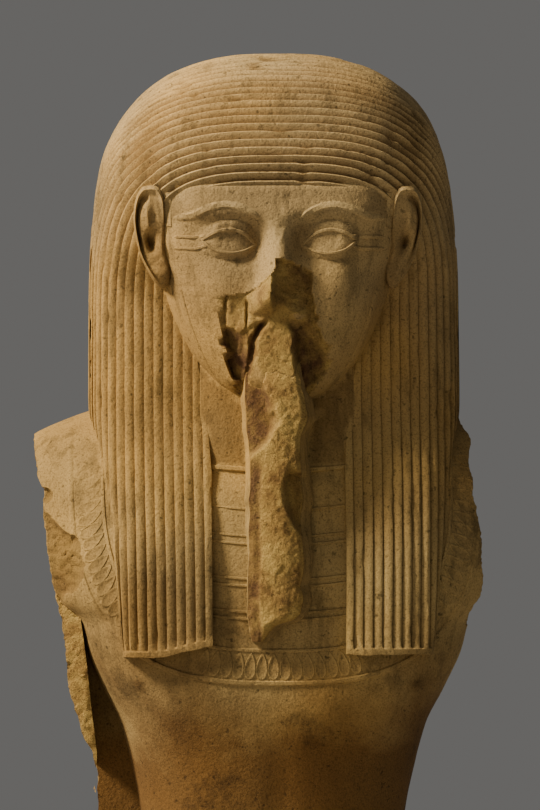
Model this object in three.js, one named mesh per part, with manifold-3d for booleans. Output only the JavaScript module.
// Standing figure of a god or king, carved with its back pillar and low base from one block of sandstone.
// It wears a striated wig, a broad collar with drop beads and a straight beard that is broken away in front.
// Both arms are lost. Millimetres, +Z up, the front faces -Y and the figure's left side is +X.
// The figure is set out on a grid of 18 squares from the soles to the hairline.

import * as THREE from "three";
import { mergeVertices } from "three/addons/utils/BufferGeometryUtils.js";
import Module from "manifold-3d";

const wasm = await Module();
wasm.setup();

// Driving dimensions
const GRID_SQUARE = 80.6;
const BASE_WIDTH = 340;
const BASE_LENGTH = 600;
const BASE_HEIGHT = 90;
const FIGURE_Y = 135; // the figure's own axis lies this far behind the middle of the base
const PILLAR_WIDTH = 124;
const PILLAR_REAR = 150; // measured back from the figure's axis, as all depths of the figure are
const PILLAR_TOP = 1330;
const STRIDE = 220; // how far the left foot is ahead of the right one

// Heights above the floor, from the grid
const level = (squares) => BASE_HEIGHT + squares * GRID_SQUARE;
const SOLE_Z = level(0);
const HEM_Z = level(6.7);
const HIP_Z = level(9.6);
const BELT_Z = level(11.6);
const HAIRLINE_Z = level(18);

// Wig: a dome that sits on straight sides, with two lappets in front
const WIG = {
  centreY: 10,
  springZ: 1469,
  halfWidth: 119.5,
  front: 116,
  back: 105,
  rise: 159.5,
  sideExponent: 2.9,
  profileExponent: 2.5,
  bottomZ: 1245,
  notchHalf: 42.5,
  templeHalf: 74,
};
const STRAND_DEPTH = 1.6;
const STRAND_PITCH = 6.25;
const REAR_STRAND_PITCH = 14;
const CROWN_PITCH = 5.5;

const STONE = new THREE.MeshStandardMaterial({ color: 0x9a7b4f, roughness: 0.9, metalness: 0 });

// A smooth curve through [place, value] pairs that never swings past them
function smoothThrough(pairs) {
  const count = pairs.length;
  const slopes = [];
  for (let i = 0; i < count - 1; i += 1) {
    slopes.push((pairs[i + 1][1] - pairs[i][1]) / (pairs[i + 1][0] - pairs[i][0]));
  }
  const tangents = pairs.map((_, i) => {
    if (i === 0) return slopes[0];
    if (i === count - 1) return slopes[count - 2];
    const [before, after] = [slopes[i - 1], slopes[i]];
    return before * after <= 0 ? 0 : (2 * before * after) / (before + after);
  });
  return (place) => {
    const t = Math.min(Math.max(place, pairs[0][0]), pairs[count - 1][0]);
    let i = 0;
    while (i < count - 2 && t > pairs[i + 1][0]) i += 1;
    const width = pairs[i + 1][0] - pairs[i][0];
    const s = (t - pairs[i][0]) / width;
    const rest = 1 - s;
    return (
      pairs[i][1] * (1 + 2 * s) * rest * rest +
      tangents[i] * width * s * rest * rest +
      pairs[i + 1][1] * s * s * (3 - 2 * s) -
      tangents[i + 1] * width * s * s * rest
    );
  };
}

function smoothStep(low, high, value) {
  const s = Math.min(Math.max((value - low) / (high - low), 0), 1);
  return s * s * (3 - 2 * s);
}

function bell(offset, width) {
  return Math.exp(-((offset / width) ** 2));
}

// Repeatable uneven height between -1 and 1 for one grid point of a broken surface
function unevenness(i, j, seed) {
  const wave = Math.sin(i * 12.9898 + j * 78.233 + seed * 37.719) * 43758.5453;
  return 2 * (wave - Math.floor(wave)) - 1;
}

function signedPower(value, exponent) {
  return Math.sign(value) * Math.abs(value) ** exponent;
}

// Solids and the geometries they are made from
function geometryFrom(points, triangles) {
  const geometry = new THREE.BufferGeometry();
  geometry.setAttribute("position", new THREE.Float32BufferAttribute(points.flat(), 3));
  geometry.setIndex(triangles.flat());
  return geometry;
}

function solidFrom(geometry) {
  geometry.deleteAttribute("normal");
  geometry.deleteAttribute("uv");
  const merged = mergeVertices(geometry, 1e-3);
  const triVerts = Uint32Array.from(merged.index.array);
  const kept = [];
  for (let i = 0; i < triVerts.length; i += 3) {
    const [a, b, c] = [triVerts[i], triVerts[i + 1], triVerts[i + 2]];
    if (a !== b && b !== c && c !== a) kept.push(a, b, c);
  }
  const mesh = new wasm.Mesh({
    numProp: 3,
    vertProperties: Float32Array.from(merged.attributes.position.array),
    triVerts: Uint32Array.from(kept),
  });
  return new wasm.Manifold(mesh);
}

// A closed solid through rings of equal length; each ring turns anticlockwise seen from the last one
function loft(rings) {
  const size = rings[0].length;
  const points = rings.flat();
  const triangles = [];
  for (let r = 0; r < rings.length - 1; r += 1) {
    for (let i = 0; i < size; i += 1) {
      const a = r * size + i;
      const b = r * size + ((i + 1) % size);
      triangles.push([a, b, b + size], [a, b + size, a + size]);
    }
  }
  const middleOf = (ring) => [0, 1, 2].map((k) => ring.reduce((sum, point) => sum + point[k], 0) / size);
  const lastStart = (rings.length - 1) * size;
  const bottomMiddle = points.length;
  points.push(middleOf(rings[0]));
  const topMiddle = points.length;
  points.push(middleOf(rings[rings.length - 1]));
  for (let i = 0; i < size; i += 1) {
    const next = (i + 1) % size;
    triangles.push([bottomMiddle, next, i], [topMiddle, lastStart + i, lastStart + next]);
  }
  return solidFrom(geometryFrom(points, triangles));
}

// One level of a body: a rounded oblong with its own depth in front and behind
function oblongRing(z, section, steps) {
  const ring = [];
  for (let i = 0; i < steps; i += 1) {
    const turn = (2 * Math.PI * i) / steps;
    const power = 2 / section.exponent;
    const across = signedPower(Math.cos(turn), power);
    const along = signedPower(Math.sin(turn), power);
    const depth = along < 0 ? section.front : section.back;
    ring.push([section.x + section.half * across, section.y + depth * along, z]);
  }
  return ring;
}

function box(x0, x1, y0, y1, z0, z1) {
  const geometry = new THREE.BoxGeometry(x1 - x0, y1 - y0, z1 - z0);
  geometry.translate((x0 + x1) / 2, (y0 + y1) / 2, (z0 + z1) / 2);
  return solidFrom(geometry);
}

// A prism whose outline is drawn in front view as [x, z] pairs, between two depths
function frontPrism(outline, yFront, yBack) {
  const shape = new THREE.Shape(outline.map(([x, z]) => new THREE.Vector2(x, z)));
  const geometry = new THREE.ExtrudeGeometry(shape, { depth: yBack - yFront, bevelEnabled: false });
  geometry.rotateX(Math.PI / 2);
  geometry.translate(0, yBack, 0);
  return solidFrom(geometry);
}

// Wig
function wigRadius(dx, dy, dz) {
  const depth = dy < 0 ? WIG.front : WIG.back;
  const { profileExponent: m, sideExponent: n } = WIG;
  const profilePart = (Math.abs(dy / depth) ** m + Math.abs(dz / WIG.rise) ** m) ** (n / m);
  return (profilePart + Math.abs(dx / WIG.halfWidth) ** n) ** (-1 / n);
}

// Below the hairline the front of the wig draws back to the ears, then falls forward over the chest
const wigFrontDepth = smoothThrough([
  [1245, 105],
  [1300, 100],
  [1350, 86],
  [1400, 68],
  [1469, 62],
  [1505, 84],
  [1541, 111],
  [1560, 116],
]);
const wigFrontExponent = smoothThrough([
  [1245, 5.5],
  [1400, 5],
  [1469, 4.4],
  [1560, 2.9],
]);
const wigLegHalf = smoothThrough([
  [1245, 99],
  [1277, 103],
  [1315, 107.5],
  [1342, 111],
  [1379, 116.5],
  [1404, 119.5],
]);
const NARROWING = 7; // how sharply the lappets turn into their flat outer sides

// Places along half of the wig, measured along a curve given as a function of one turn
function placesAlong(curve, from, to, spacing) {
  const fine = 1200;
  const places = [from];
  let travelled = 0;
  let last = curve(from);
  for (let i = 1; i <= fine; i += 1) {
    const turn = from + ((to - from) * i) / fine;
    const point = curve(turn);
    travelled += Math.hypot(point[0] - last[0], point[1] - last[1]);
    last = point;
    if (travelled >= spacing(places.length, point)) {
      places.push(turn);
      travelled = 0;
    }
  }
  return places;
}

function sagittalPoint(turn) {
  const radius = wigRadius(0, -Math.cos(turn), Math.sin(turn));
  return [-Math.cos(turn) * radius, Math.sin(turn) * radius];
}

function legPoint(turn) {
  const [dx, dy] = [Math.sin(turn), -Math.cos(turn)];
  const radius = wigRadius(dx, dy, 0);
  return settle(dx * radius, dy * radius, WIG.springZ);
}

// Moves a point of the plain dome or of its straight sides to the wig's real surface
function settle(x, y, z) {
  const edge = Math.min(Math.abs(x) / WIG.halfWidth, 1);
  const across = x * (1 - (1 - wigLegHalf(z) / WIG.halfWidth) * edge ** NARROWING);
  if (y >= 0) return [across, y];
  const exponent = wigFrontExponent(z);
  const plain = (1 - edge ** WIG.sideExponent) ** (1 / WIG.sideExponent);
  const flatter = (1 - edge ** exponent) ** (1 / exponent);
  const share = smoothStep(1560, 1480, z);
  const depth = wigFrontDepth(z) / WIG.front; // 1 over the forehead
  const shaped = plain > 1e-6 ? y * (1 + share * (flatter / plain - 1)) : y;
  return [across, shaped * depth];
}

// Edges of the strands: leg turns run from the notch between the lappets round to the middle of the back,
// crown turns run from the hairline over the head to the whorl behind the crown
function strandEdges() {
  const hairTurn = Math.atan2(HAIRLINE_Z - WIG.springZ, WIG.front * 0.97);
  const notchTurn = Math.atan(WIG.notchHalf / WIG.front);
  const legs = placesAlong(legPoint, notchTurn, Math.PI, (_, [, y]) => {
    return y > 0 ? REAR_STRAND_PITCH : STRAND_PITCH;
  });
  const first = legs.findIndex((turn) => legPoint(turn)[0] >= WIG.templeHalf);
  const crown = placesAlong(sagittalPoint, hairTurn, Math.PI * 0.8, (i) => CROWN_PITCH + 0.03 * i);
  return legs.map((leg, i) => {
    const step = i - first;
    const hidden = hairTurn + step * 0.05;
    const apex = step < 0 ? hidden : crown[Math.min(step, crown.length - 1)];
    return { leg, apex };
  });
}

// One point of a strand line: place 0 is on the middle of the head, 1 where the straight leg begins
function archPoint(edge, place, lift) {
  const inner = 1 - smoothStep(0.3, 1.2, edge.apex);
  const power = 2 / (WIG.sideExponent + 1.2 * inner);
  const turn = (place * Math.PI) / 2;
  const out = Math.sin(turn) ** power;
  const up = Math.max(Math.cos(turn), 0) ** power;
  const dx = out * Math.sin(edge.leg);
  const forward = up ** 2;
  const dy = -(Math.cos(edge.leg) * (1 - forward) + Math.cos(edge.apex) * forward);
  const dz = up * Math.sin(edge.apex);
  const radius = wigRadius(dx, dy, dz) + lift;
  const z = WIG.springZ + dz * radius;
  const [x, y] = settle(dx * radius, dy * radius, z);
  return [x, WIG.centreY + y, z];
}

function wigSolid() {
  const edges = strandEdges();
  const lines = [];
  edges.forEach((edge, i) => {
    lines.push({ edge, lift: -STRAND_DEPTH });
    const next = edges[i + 1];
    if (next) {
      lines.push({ edge: { leg: (edge.leg + next.leg) / 2, apex: (edge.apex + next.apex) / 2 }, lift: 0 });
    }
  });
  lines.push({ edge: { leg: Math.PI, apex: edges[edges.length - 1].apex + 0.04 }, lift: 0 });
  const archPlaces = [0, 0.12, 0.26, 0.4, 0.54, 0.69, 0.84, 1];
  const legHeights = [1404, 1340, WIG.bottomZ];
  const rows = archPlaces.length + legHeights.length;
  const points = [];
  const half = lines.map(({ edge, lift }) => {
    const column = archPlaces.map((place) => archPoint(edge, place, lift));
    const [dx, dy] = [Math.sin(edge.leg), -Math.cos(edge.leg)];
    const radius = wigRadius(dx, dy, 0) + lift;
    legHeights.forEach((z) => {
      const [x, y] = settle(dx * radius, dy * radius, z);
      column.push([x, WIG.centreY + y, z]);
    });
    column[0][0] = 0;
    return column;
  });
  half[half.length - 1].forEach((point) => {
    point[0] = 0;
  });
  const index = (side, column, row) => (side * half.length + column) * rows + row;
  [1, -1].forEach((side) => {
    half.forEach((column) => column.forEach(([x, y, z]) => points.push([side * x, y, z])));
  });
  const triangles = [];
  const quad = (a, b, c, d) => triangles.push([a, b, c], [a, c, d]);
  for (let row = 0; row < rows - 1; row += 1) {
    for (let column = 0; column < half.length - 1; column += 1) {
      const corner = (side, c, r) => index(side, column + c, row + r);
      quad(corner(0, 0, 0), corner(0, 0, 1), corner(0, 1, 1), corner(0, 1, 0));
      quad(corner(1, 0, 0), corner(1, 1, 0), corner(1, 1, 1), corner(1, 0, 1));
    }
    quad(index(0, 0, row), index(1, 0, row), index(1, 0, row + 1), index(0, 0, row + 1));
  }
  for (let column = 0; column < half.length - 1; column += 1) {
    const corner = (side, c) => index(side, column + c, rows - 1);
    quad(corner(0, 0), corner(1, 0), corner(1, 1), corner(0, 1));
  }
  return solidFrom(geometryFrom(points, triangles));
}

// The opening for the face, the ears and the neck, and the notch between the lappets
function faceOpening() {
  const templeX = 67.5;
  const archZ = 1510;
  const outline = [];
  const steps = 12;
  for (let i = 0; i <= steps; i += 1) {
    const turn = Math.PI * (i / steps);
    const x = templeX * signedPower(Math.cos(turn), 2 / 3);
    const z = archZ + (HAIRLINE_Z - archZ) * Math.sin(turn) ** (2 / 3);
    outline.push([x, z]);
  }
  const side = [
    [-templeX, 1517],
    [-73, 1515],
    [-70, 1478],
    [-58, 1446],
    [-48, 1412],
    [-WIG.notchHalf, 1359],
    [1 - WIG.notchHalf, 1230],
  ];
  const right = [...side].reverse().map(([x, z]) => [-x, z]);
  return frontPrism([...outline.slice(1, -1), ...side, ...right], -200, 8);
}

// Head
const headHalf = smoothThrough([
  [1392, 18],
  [1402, 26],
  [1409, 39],
  [1419, 50],
  [1433, 59],
  [1452, 68],
  [1476, 76],
  [1505, 82],
  [1545, 82],
  [1560, 50],
]);
const headFront = smoothThrough([
  [1392, 66],
  [1402, 74],
  [1409, 86],
  [1418, 92],
  [1450, 94],
  [1480, 94],
  [1505, 95],
  [1522, 97],
  [1538, 95],
  [1546, 84],
  [1560, 40],
]);

const headExponent = smoothThrough([
  [1402, 2.1],
  [1436, 2.7],
  [1480, 3.2],
  [1505, 4],
]);

function faceRelief(x, z) {
  const side = Math.abs(x);
  const nose = smoothStep(1520, 1468, z) * smoothStep(1458, 1466, z);
  const noseRise = 20 * nose * bell(x, 9 + 7 * smoothStep(1500, 1470, z));
  const socket = -7 * bell(side - 32, 17) * bell(z - 1507, 13);
  const eye = 6.5 * bell(side - 32, 13) * bell(z - 1506, 7);
  const brow = 3 * bell(side - 34, 24) * bell(z - 1524, 5);
  const cheek = 4 * bell(side - 42, 18) * bell(z - 1470, 20);
  const lips = 5 * bell(x, 20) * bell(z - 1442, 9);
  const chin = 6 * bell(x, 22) * bell(z - 1415, 12);
  return noseRise + socket + eye + brow + cheek + lips + chin;
}

function headSolid() {
  const heights = [1392, 1402, 1415, 1430, 1442, 1452, 1462, 1470, 1482, 1494, 1506, 1516, 1526, 1540, 1560];
  const frontSteps = 24;
  const rings = heights.map((z) => {
    const half = headHalf(z);
    const exponent = headExponent(z);
    const ring = [];
    for (let i = 0; i <= frontSteps; i += 1) {
      const x = half * Math.sin(Math.PI * (i / frontSteps - 0.5));
      const y = -headFront(z) * (1 - Math.abs(x / half) ** exponent) ** (1 / exponent);
      ring.push([x, y - faceRelief(x, z), z]);
    }
    ring.push([half * 0.8, 45, z], [-half * 0.8, 45, z]);
    return ring;
  });
  return loft(rings);
}

function neckSolid() {
  const rings = [
    [1330, 72, 77],
    [1352, 64, 71],
    [1380, 62, 66],
    [1410, 62, 61],
    [1450, 62, 54],
  ].map(([z, half, front]) => oblongRing(z, { x: 0, y: 0, half, front, back: 60, exponent: 4.8 }, 24));
  return loft(rings);
}

// An ear that lies on the wig and is turned to the front: a rim, a hollow and a lobe
function earSolid(side) {
  const outline = (grow) => {
    const points = [];
    const steps = 14;
    for (let i = 0; i < steps; i += 1) {
      const turn = (2 * Math.PI * i) / steps;
      const upper = Math.sin(turn) > 0 ? 1 : 0.75;
      const x = 81.5 + (10.5 * upper + grow) * Math.cos(turn) + 3.5 * Math.sin(turn);
      const z = 1508 + (32 + grow) * Math.sin(turn);
      points.push([side * x, z]);
    }
    return side > 0 ? points : points.reverse();
  };
  const ringAt = (grow, y) => outline(grow).map(([x, z]) => [x, y - 4 * (x * side - 80) / 10, z]);
  const turned = (rings) => loft(rings.map((ring) => [...ring].reverse()).reverse());
  const rim = turned([ringAt(-1, -20), ringAt(0, -66), ringAt(-2.5, -71)]);
  const hollow = turned([ringAt(-6.5, -66), ringAt(-4.5, -80)]);
  return rim.subtract(hollow);
}

// Beard panel: broken in front, with straight sides down to the chest
function beardSolid() {
  const rows = 18;
  const columns = 5;
  const topZ = 1442;
  const bottomZ = 1251;
  const leftX = -21.5;
  const rightX = 18;
  const breakY = smoothThrough([
    [1251, -93],
    [1265, -98],
    [1290, -101],
    [1340, -100],
    [1380, -98],
    [1410, -95],
    [1442, -92],
  ]);
  const rings = [];
  for (let r = 0; r <= rows; r += 1) {
    const z = bottomZ + ((topZ - bottomZ) * r) / rows;
    const ring = [];
    for (let c = 0; c <= columns; c += 1) {
      const x = leftX + ((rightX - leftX) * c) / columns;
      const edge = c === 0 || c === columns;
      ring.push([x, breakY(z) + (edge ? 3 : 2.4 * unevenness(r, c, 1)), z]);
    }
    ring.push([rightX, -20, z], [leftX, -20, z]);
    rings.push(ring);
  }
  return loft(rings);
}

// Rough solid that takes away the broken lower part of the face
function faceBreak() {
  const rings = [];
  const rows = 8;
  const columns = 6;
  for (let r = 0; r <= rows; r += 1) {
    const z = 1396 + (74 * r) / rows;
    const half = 24 + 12 * bell(z - 1425, 22);
    const ring = [];
    for (let c = 0; c <= columns; c += 1) {
      const x = -4 - half + (2 * half * c) / columns;
      ring.push([x, -90 - 9 * smoothStep(1410, 1465, z) + 2.5 * unevenness(r, c, 5), z]);
    }
    ring.reverse();
    ring.push([-4 - half, -160, z], [-4 + half, -160, z]);
    rings.push(ring);
  }
  return loft(rings);
}

// Torso, from the waist to the shoulders
const torsoHalf = smoothThrough([
  [1000, 90],
  [1057, 81],
  [1100, 81],
  [1141, 86],
  [1170, 92],
  [1196, 99],
  [1218, 110],
  [1242, 121],
  [1262, 127],
  [1275, 142],
  [1310, 165],
  [1350, 178],
  [1378, 160],
  [1396, 123],
  [1402, 100],
]);
const torsoFront = smoothThrough([
  [1000, 76],
  [1057, 72],
  [1141, 80],
  [1190, 91],
  [1218, 96],
  [1250, 97],
  [1290, 96],
  [1320, 92],
  [1350, 84],
  [1380, 62],
  [1402, 40],
]);
const torsoBack = smoothThrough([
  [1000, 80],
  [1057, 60],
  [1141, 66],
  [1218, 78],
  [1290, 82],
  [1350, 74],
  [1402, 46],
]);
const torsoExponent = smoothThrough([
  [1000, 2.4],
  [1141, 2.5],
  [1200, 2.8],
  [1245, 3.1],
  [1300, 2.6],
  [1340, 2.15],
  [1402, 2.1],
]);
const TORSO_Y = 10;

function torsoRing(z, steps) {
  const section = {
    x: 0,
    y: TORSO_Y,
    half: torsoHalf(z),
    front: torsoFront(z),
    back: torsoBack(z),
    exponent: torsoExponent(z),
  };
  return oblongRing(z, section, steps);
}

function torsoSolid() {
  const heights = [1000, 1057, 1141, 1170, 1196, 1218, 1242, 1262, 1275, 1310, 1350, 1378, 1396, 1402];
  return loft(heights.map((z) => torsoRing(z, 32)));
}

function chestY(x, z) {
  const across = Math.min(Math.abs(x) / torsoHalf(z), 1);
  const exponent = torsoExponent(z);
  return TORSO_Y - torsoFront(z) * (1 - across ** exponent) ** (1 / exponent);
}

// Broad collar: nested rows that hang over the chest like a deep U, with drop beads inside the outer rim
const COLLAR = { half: 133, drop: 137, centreZ: 1360, exponent: 2.8 };

function collarCurve(turn, share) {
  const power = 2 / COLLAR.exponent;
  const x = COLLAR.half * share * signedPower(Math.sin(turn), power);
  return [x, COLLAR.centreZ - COLLAR.drop * share * signedPower(Math.cos(turn), power)];
}

function raisedBand(points, width, height) {
  const rings = points.map(([x, z], i) => {
    const [x0, z0] = points[Math.max(i - 1, 0)];
    const [x1, z1] = points[Math.min(i + 1, points.length - 1)];
    const length = Math.hypot(x1 - x0, z1 - z0);
    const [nx, nz] = [-(z1 - z0) / length, (x1 - x0) / length];
    const y = chestY(x, z);
    const half = width / 2;
    const at = (across, out) => [x + nx * across, y - out, z + nz * across];
    return [at(-half, -12), at(-half, height * 0.6), at(0, height), at(half, height * 0.6)];
  });
  return loft(rings.map((ring) => [...ring].reverse()));
}

function collarSolid() {
  const turns = [];
  const limit = 1.62;
  const steps = 20;
  for (let i = 0; i <= steps; i += 1) turns.push(-limit + (2 * limit * i) / steps);
  const rim = raisedBand(turns.map((turn) => collarCurve(turn, 0.985)), 4, 1.6);
  const row = raisedBand(turns.map((turn) => collarCurve(turn, 0.84)), 3, 1.2);
  let collar = rim.add(row);
  const beads = 32;
  for (let i = 0; i <= beads; i += 1) {
    const turn = -1.55 + (3.1 * i) / beads;
    const [x, z] = collarCurve(turn, 0.9);
    const underLappet = Math.abs(x) > WIG.notchHalf + 6 && Math.abs(x) < wigLegHalf(z) - 6;
    if (!underLappet) {
      const bead = raisedBand([collarCurve(turn, 0.855), collarCurve(turn, 0.965)], 6.5, 1);
      collar = collar.add(bead);
    }
  }
  return collar;
}

// Stone left at the figure's right side: the inner part of the lost arm, and the web behind it
function rightSideStone() {
  const armBreak = smoothThrough([
    [1165, -118],
    [1180, -123],
    [1200, -131],
    [1240, -138],
    [1275, -144],
  ]);
  const innerWall = smoothThrough([
    [1165, -115],
    [1185, -115.5],
    [1200, -117.5],
    [1240, -122],
    [1275, -126],
  ]);
  const heights = [1162, 1172, 1182, 1192, 1204, 1216, 1228, 1240, 1252, 1275];
  const rings = heights.map((z, r) => {
    const outer = armBreak(z);
    const inner = innerWall(z);
    const y = (share) => -34 + 74 * share;
    const chip = (c) => 1.5 * unevenness(r, c, 3);
    return [
      [inner, y(0) + chip(0), z],
      [inner, y(1), z],
      [outer, y(1), z],
      [outer + 0.33 * (inner - outer) + chip(2), y(0.66), z],
      [outer + 0.66 * (inner - outer) + chip(3), y(0.33), z],
    ];
  });
  const web = frontPrism(
    [
      [-60, 900],
      [-60, 1300],
      [-134, 1300],
      [-117, 1172],
      [-112.5, 1138],
      [-113, 1040],
      [-108, 980],
      [-100, 900],
    ].reverse(),
    8,
    44,
  );
  return loft(rings).add(web);
}

// Rough solids that take the lost arms away, on the figure's right and left side
function armBreakCutter(side, edge, slant) {
  const columns = 6;
  const heights = edge.map(([z]) => z);
  const surface = smoothThrough([...edge].reverse());
  const rings = heights.map((z, r) => {
    const ring = [];
    for (let c = 0; c <= columns; c += 1) {
      const share = c / columns;
      const rough = c === 0 ? 0 : 1.8 * unevenness(r, c, side + 7);
      ring.push([side * (surface(z) + slant(z) * share) + rough, -120 + 240 * share, z]);
    }
    ring.push([side * 400, 120, z], [side * 400, -120, z]);
    return side > 0 ? ring.reverse() : ring;
  });
  return loft(rings.reverse());
}

function brokenArms(body) {
  const rightEdge = [
    [1410, 155.8],
    [1378, 155.8],
    [1353, 152],
    [1346, 148.8],
    [1338, 149.8],
    [1327, 148.8],
    [1301, 145.6],
    [1275, 141.8],
    [1262, 138.5],
    [1237, 135],
    [1214, 132.8],
    [1206, 129.8],
    [1186, 123],
    [1177, 117.8],
    [1161, 114.5],
    [1150, 115.5],
  ];
  const leftEdge = [
    [1410, 113],
    [1391, 119.5],
    [1378, 125],
    [1364, 124.2],
    [1347, 126.2],
    [1334, 128.5],
    [1321, 130.6],
    [1290, 132.8],
    [1279, 131.5],
    [1274, 127.5],
    [1259, 122],
  ];
  return body
    .subtract(armBreakCutter(-1, rightEdge, () => 0))
    .subtract(armBreakCutter(1, leftEdge, () => 2));
}

// Kilt and legs. The left side goes forward with the stride, in a straight line from the hip to the ankle
const strideShare = smoothThrough([
  [SOLE_Z, 1],
  [SOLE_Z + 70, 0.94],
  [HEM_Z, 0.3],
  [HIP_Z, 0.05],
  [BELT_Z, 0],
]);

function strideAt(x, z) {
  return STRIDE * strideShare(z) * smoothStep(-55, 55, x);
}

function kiltSolid() {
  const sections = [
    [HEM_Z, 118, 96, 84, 2.8],
    [700, 119, 96, 88, 2.8],
    [790, 119, 94, 94, 2.7],
    [HIP_Z, 116, 90, 94, 2.6],
    [930, 110, 84, 90, 2.5],
    [980, 98, 79, 84, 2.4],
    [BELT_Z, 92, 77, 78, 2.4],
  ];
  const rings = sections.map(([z, half, front, back, exponent]) => {
    const section = { x: 0, y: TORSO_Y, half, front, back, exponent };
    return oblongRing(z, section, 28).map(([x, y]) => [x, y - strideAt(x, z), z]);
  });
  return loft(rings);
}

function beltSolid() {
  const ring = (z, grow) => {
    const section = {
      x: 0,
      y: TORSO_Y,
      half: torsoHalf(z) + grow,
      front: torsoFront(z) + grow,
      back: torsoBack(z) + grow,
      exponent: 2.4,
    };
    return oblongRing(z, section, 28);
  };
  return loft([ring(1004, 0), ring(1006, 6), ring(1040, 5), ring(1042, 0)]);
}

function apronSolid() {
  const outline = [
    [-16, 1010],
    [16, 1010],
    [40, HEM_Z + 4],
    [-24, HEM_Z + 4],
  ];
  const rings = [0, 0.25, 0.5, 0.75, 1].map((share) => {
    const z = outline[2][1] + (outline[0][1] - outline[2][1]) * share;
    const left = outline[3][0] + (outline[0][0] - outline[3][0]) * share;
    const right = outline[2][0] + (outline[1][0] - outline[2][0]) * share;
    const y = TORSO_Y - 84 - 22 * (1 - share) - strideAt((left + right) / 2, z);
    return [
      [left, y, z],
      [right, y, z],
      [right, y + 60, z],
      [left, y + 60, z],
    ];
  });
  return loft(rings);
}

function legSolid(side) {
  const heelY = side > 0 ? 62 - STRIDE : 62;
  const lean = side > 0 ? STRIDE : 0;
  const sections = [
    [SOLE_Z - 10, 40, 46, 40, -16],
    [SOLE_Z + 40, 34, 44, 36, -16],
    [SOLE_Z + 80, 34, 38, 38, -14],
    [SOLE_Z + 180, 42, 44, 50, -10],
    [SOLE_Z + 310, 52, 54, 60, -10],
    [SOLE_Z + 400, 48, 54, 50, -14],
    [573, 50, 60, 50, -18],
    [HEM_Z + 40, 56, 66, 56, -14],
  ];
  const rings = sections.map(([z, half, front, back, shift]) => {
    const y = 38 + shift - lean * strideShare(z);
    return oblongRing(z, { x: side * 56, y, half, front, back, exponent: 2.2 }, 16);
  });
  return loft(rings).add(footSolid(side, heelY + 20));
}

const TOES_ACROSS = [0, 21, 38, 54, 68]; // from the middle of the big toe

function footSolid(side, heelY) {
  const length = 262;
  const sections = [
    [0, 26, 40],
    [0.12, 36, 66],
    [0.3, 38, 82],
    [0.5, 42, 64],
    [0.7, 47, 40],
    [0.86, 46, 28],
  ];
  const rings = sections.map(([share, half, height]) => {
    const y = heelY - length * share;
    const ring = [];
    const steps = 8;
    for (let i = 0; i <= steps; i += 1) {
      const turn = (Math.PI * i) / steps;
      const x = side * (56 + 8 * share) + half * Math.cos(turn);
      ring.push([x, y, SOLE_Z - 4 + height * Math.sin(turn) ** 0.75]);
    }
    return ring;
  });
  let foot = loft(rings.reverse().map((ring) => [...ring].reverse()));
  TOES_ACROSS.forEach((offset, toe) => {
    const size = toe === 0 ? 12.5 : 9 - 0.5 * toe;
    const geometry = new THREE.SphereGeometry(1, 6, 5);
    geometry.scale(size, 30 - 2 * toe, size * 1.5);
    geometry.translate(side * (34 + offset), heelY - length * 0.86 + 6 * toe - 6, SOLE_Z + 8);
    foot = foot.add(solidFrom(geometry));
  });
  return foot.subtract(box(-200, 200, -500, 300, SOLE_Z - 60, SOLE_Z - 5));
}

// Stone left between the legs and the pillar
function websSolid() {
  const rearWeb = box(-54, 54, 20, PILLAR_REAR - 5, SOLE_Z - 5, 900);
  const rings = [SOLE_Z - 5, 250, 400, 560, HEM_Z + 60].map((z) => {
    const front = 30 - STRIDE * strideShare(z);
    return [
      [22, front, z],
      [68, front, z],
      [68, 60, z],
      [22, 60, z],
    ];
  });
  return rearWeb.add(loft(rings));
}

function pillarSolid() {
  const half = PILLAR_WIDTH / 2;
  return box(-half, half, 30, PILLAR_REAR, SOLE_Z - 5, PILLAR_TOP);
}

function statueSolid() {
  const wig = wigSolid().subtract(faceOpening());
  const head = headSolid().subtract(faceBreak()).add(earSolid(1)).add(earSolid(-1)).add(neckSolid());
  const bust = brokenArms(torsoSolid().add(collarSolid()).add(rightSideStone())).add(beardSolid());
  const lower = kiltSolid().add(beltSolid()).add(apronSolid()).add(legSolid(-1)).add(legSolid(1));
  const figure = wig.add(head).add(bust).add(lower).add(websSolid()).add(pillarSolid());
  const base = box(-BASE_WIDTH / 2, BASE_WIDTH / 2, -BASE_LENGTH / 2, BASE_LENGTH / 2, 0, BASE_HEIGHT);
  return figure.translate([0, FIGURE_Y, 0]).add(base);
}

function meshOf(solid, name, material) {
  const { vertProperties, triVerts } = solid.getMesh();
  const geometry = new THREE.BufferGeometry();
  geometry.setAttribute("position", new THREE.BufferAttribute(Float32Array.from(vertProperties), 3));
  geometry.setIndex(new THREE.BufferAttribute(Uint32Array.from(triVerts), 1));
  geometry.computeVertexNormals();
  const mesh = new THREE.Mesh(geometry, material);
  mesh.name = name;
  return mesh;
}

const statue = new THREE.Group();
statue.add(meshOf(statueSolid(), "statue", STONE));

export default statue;
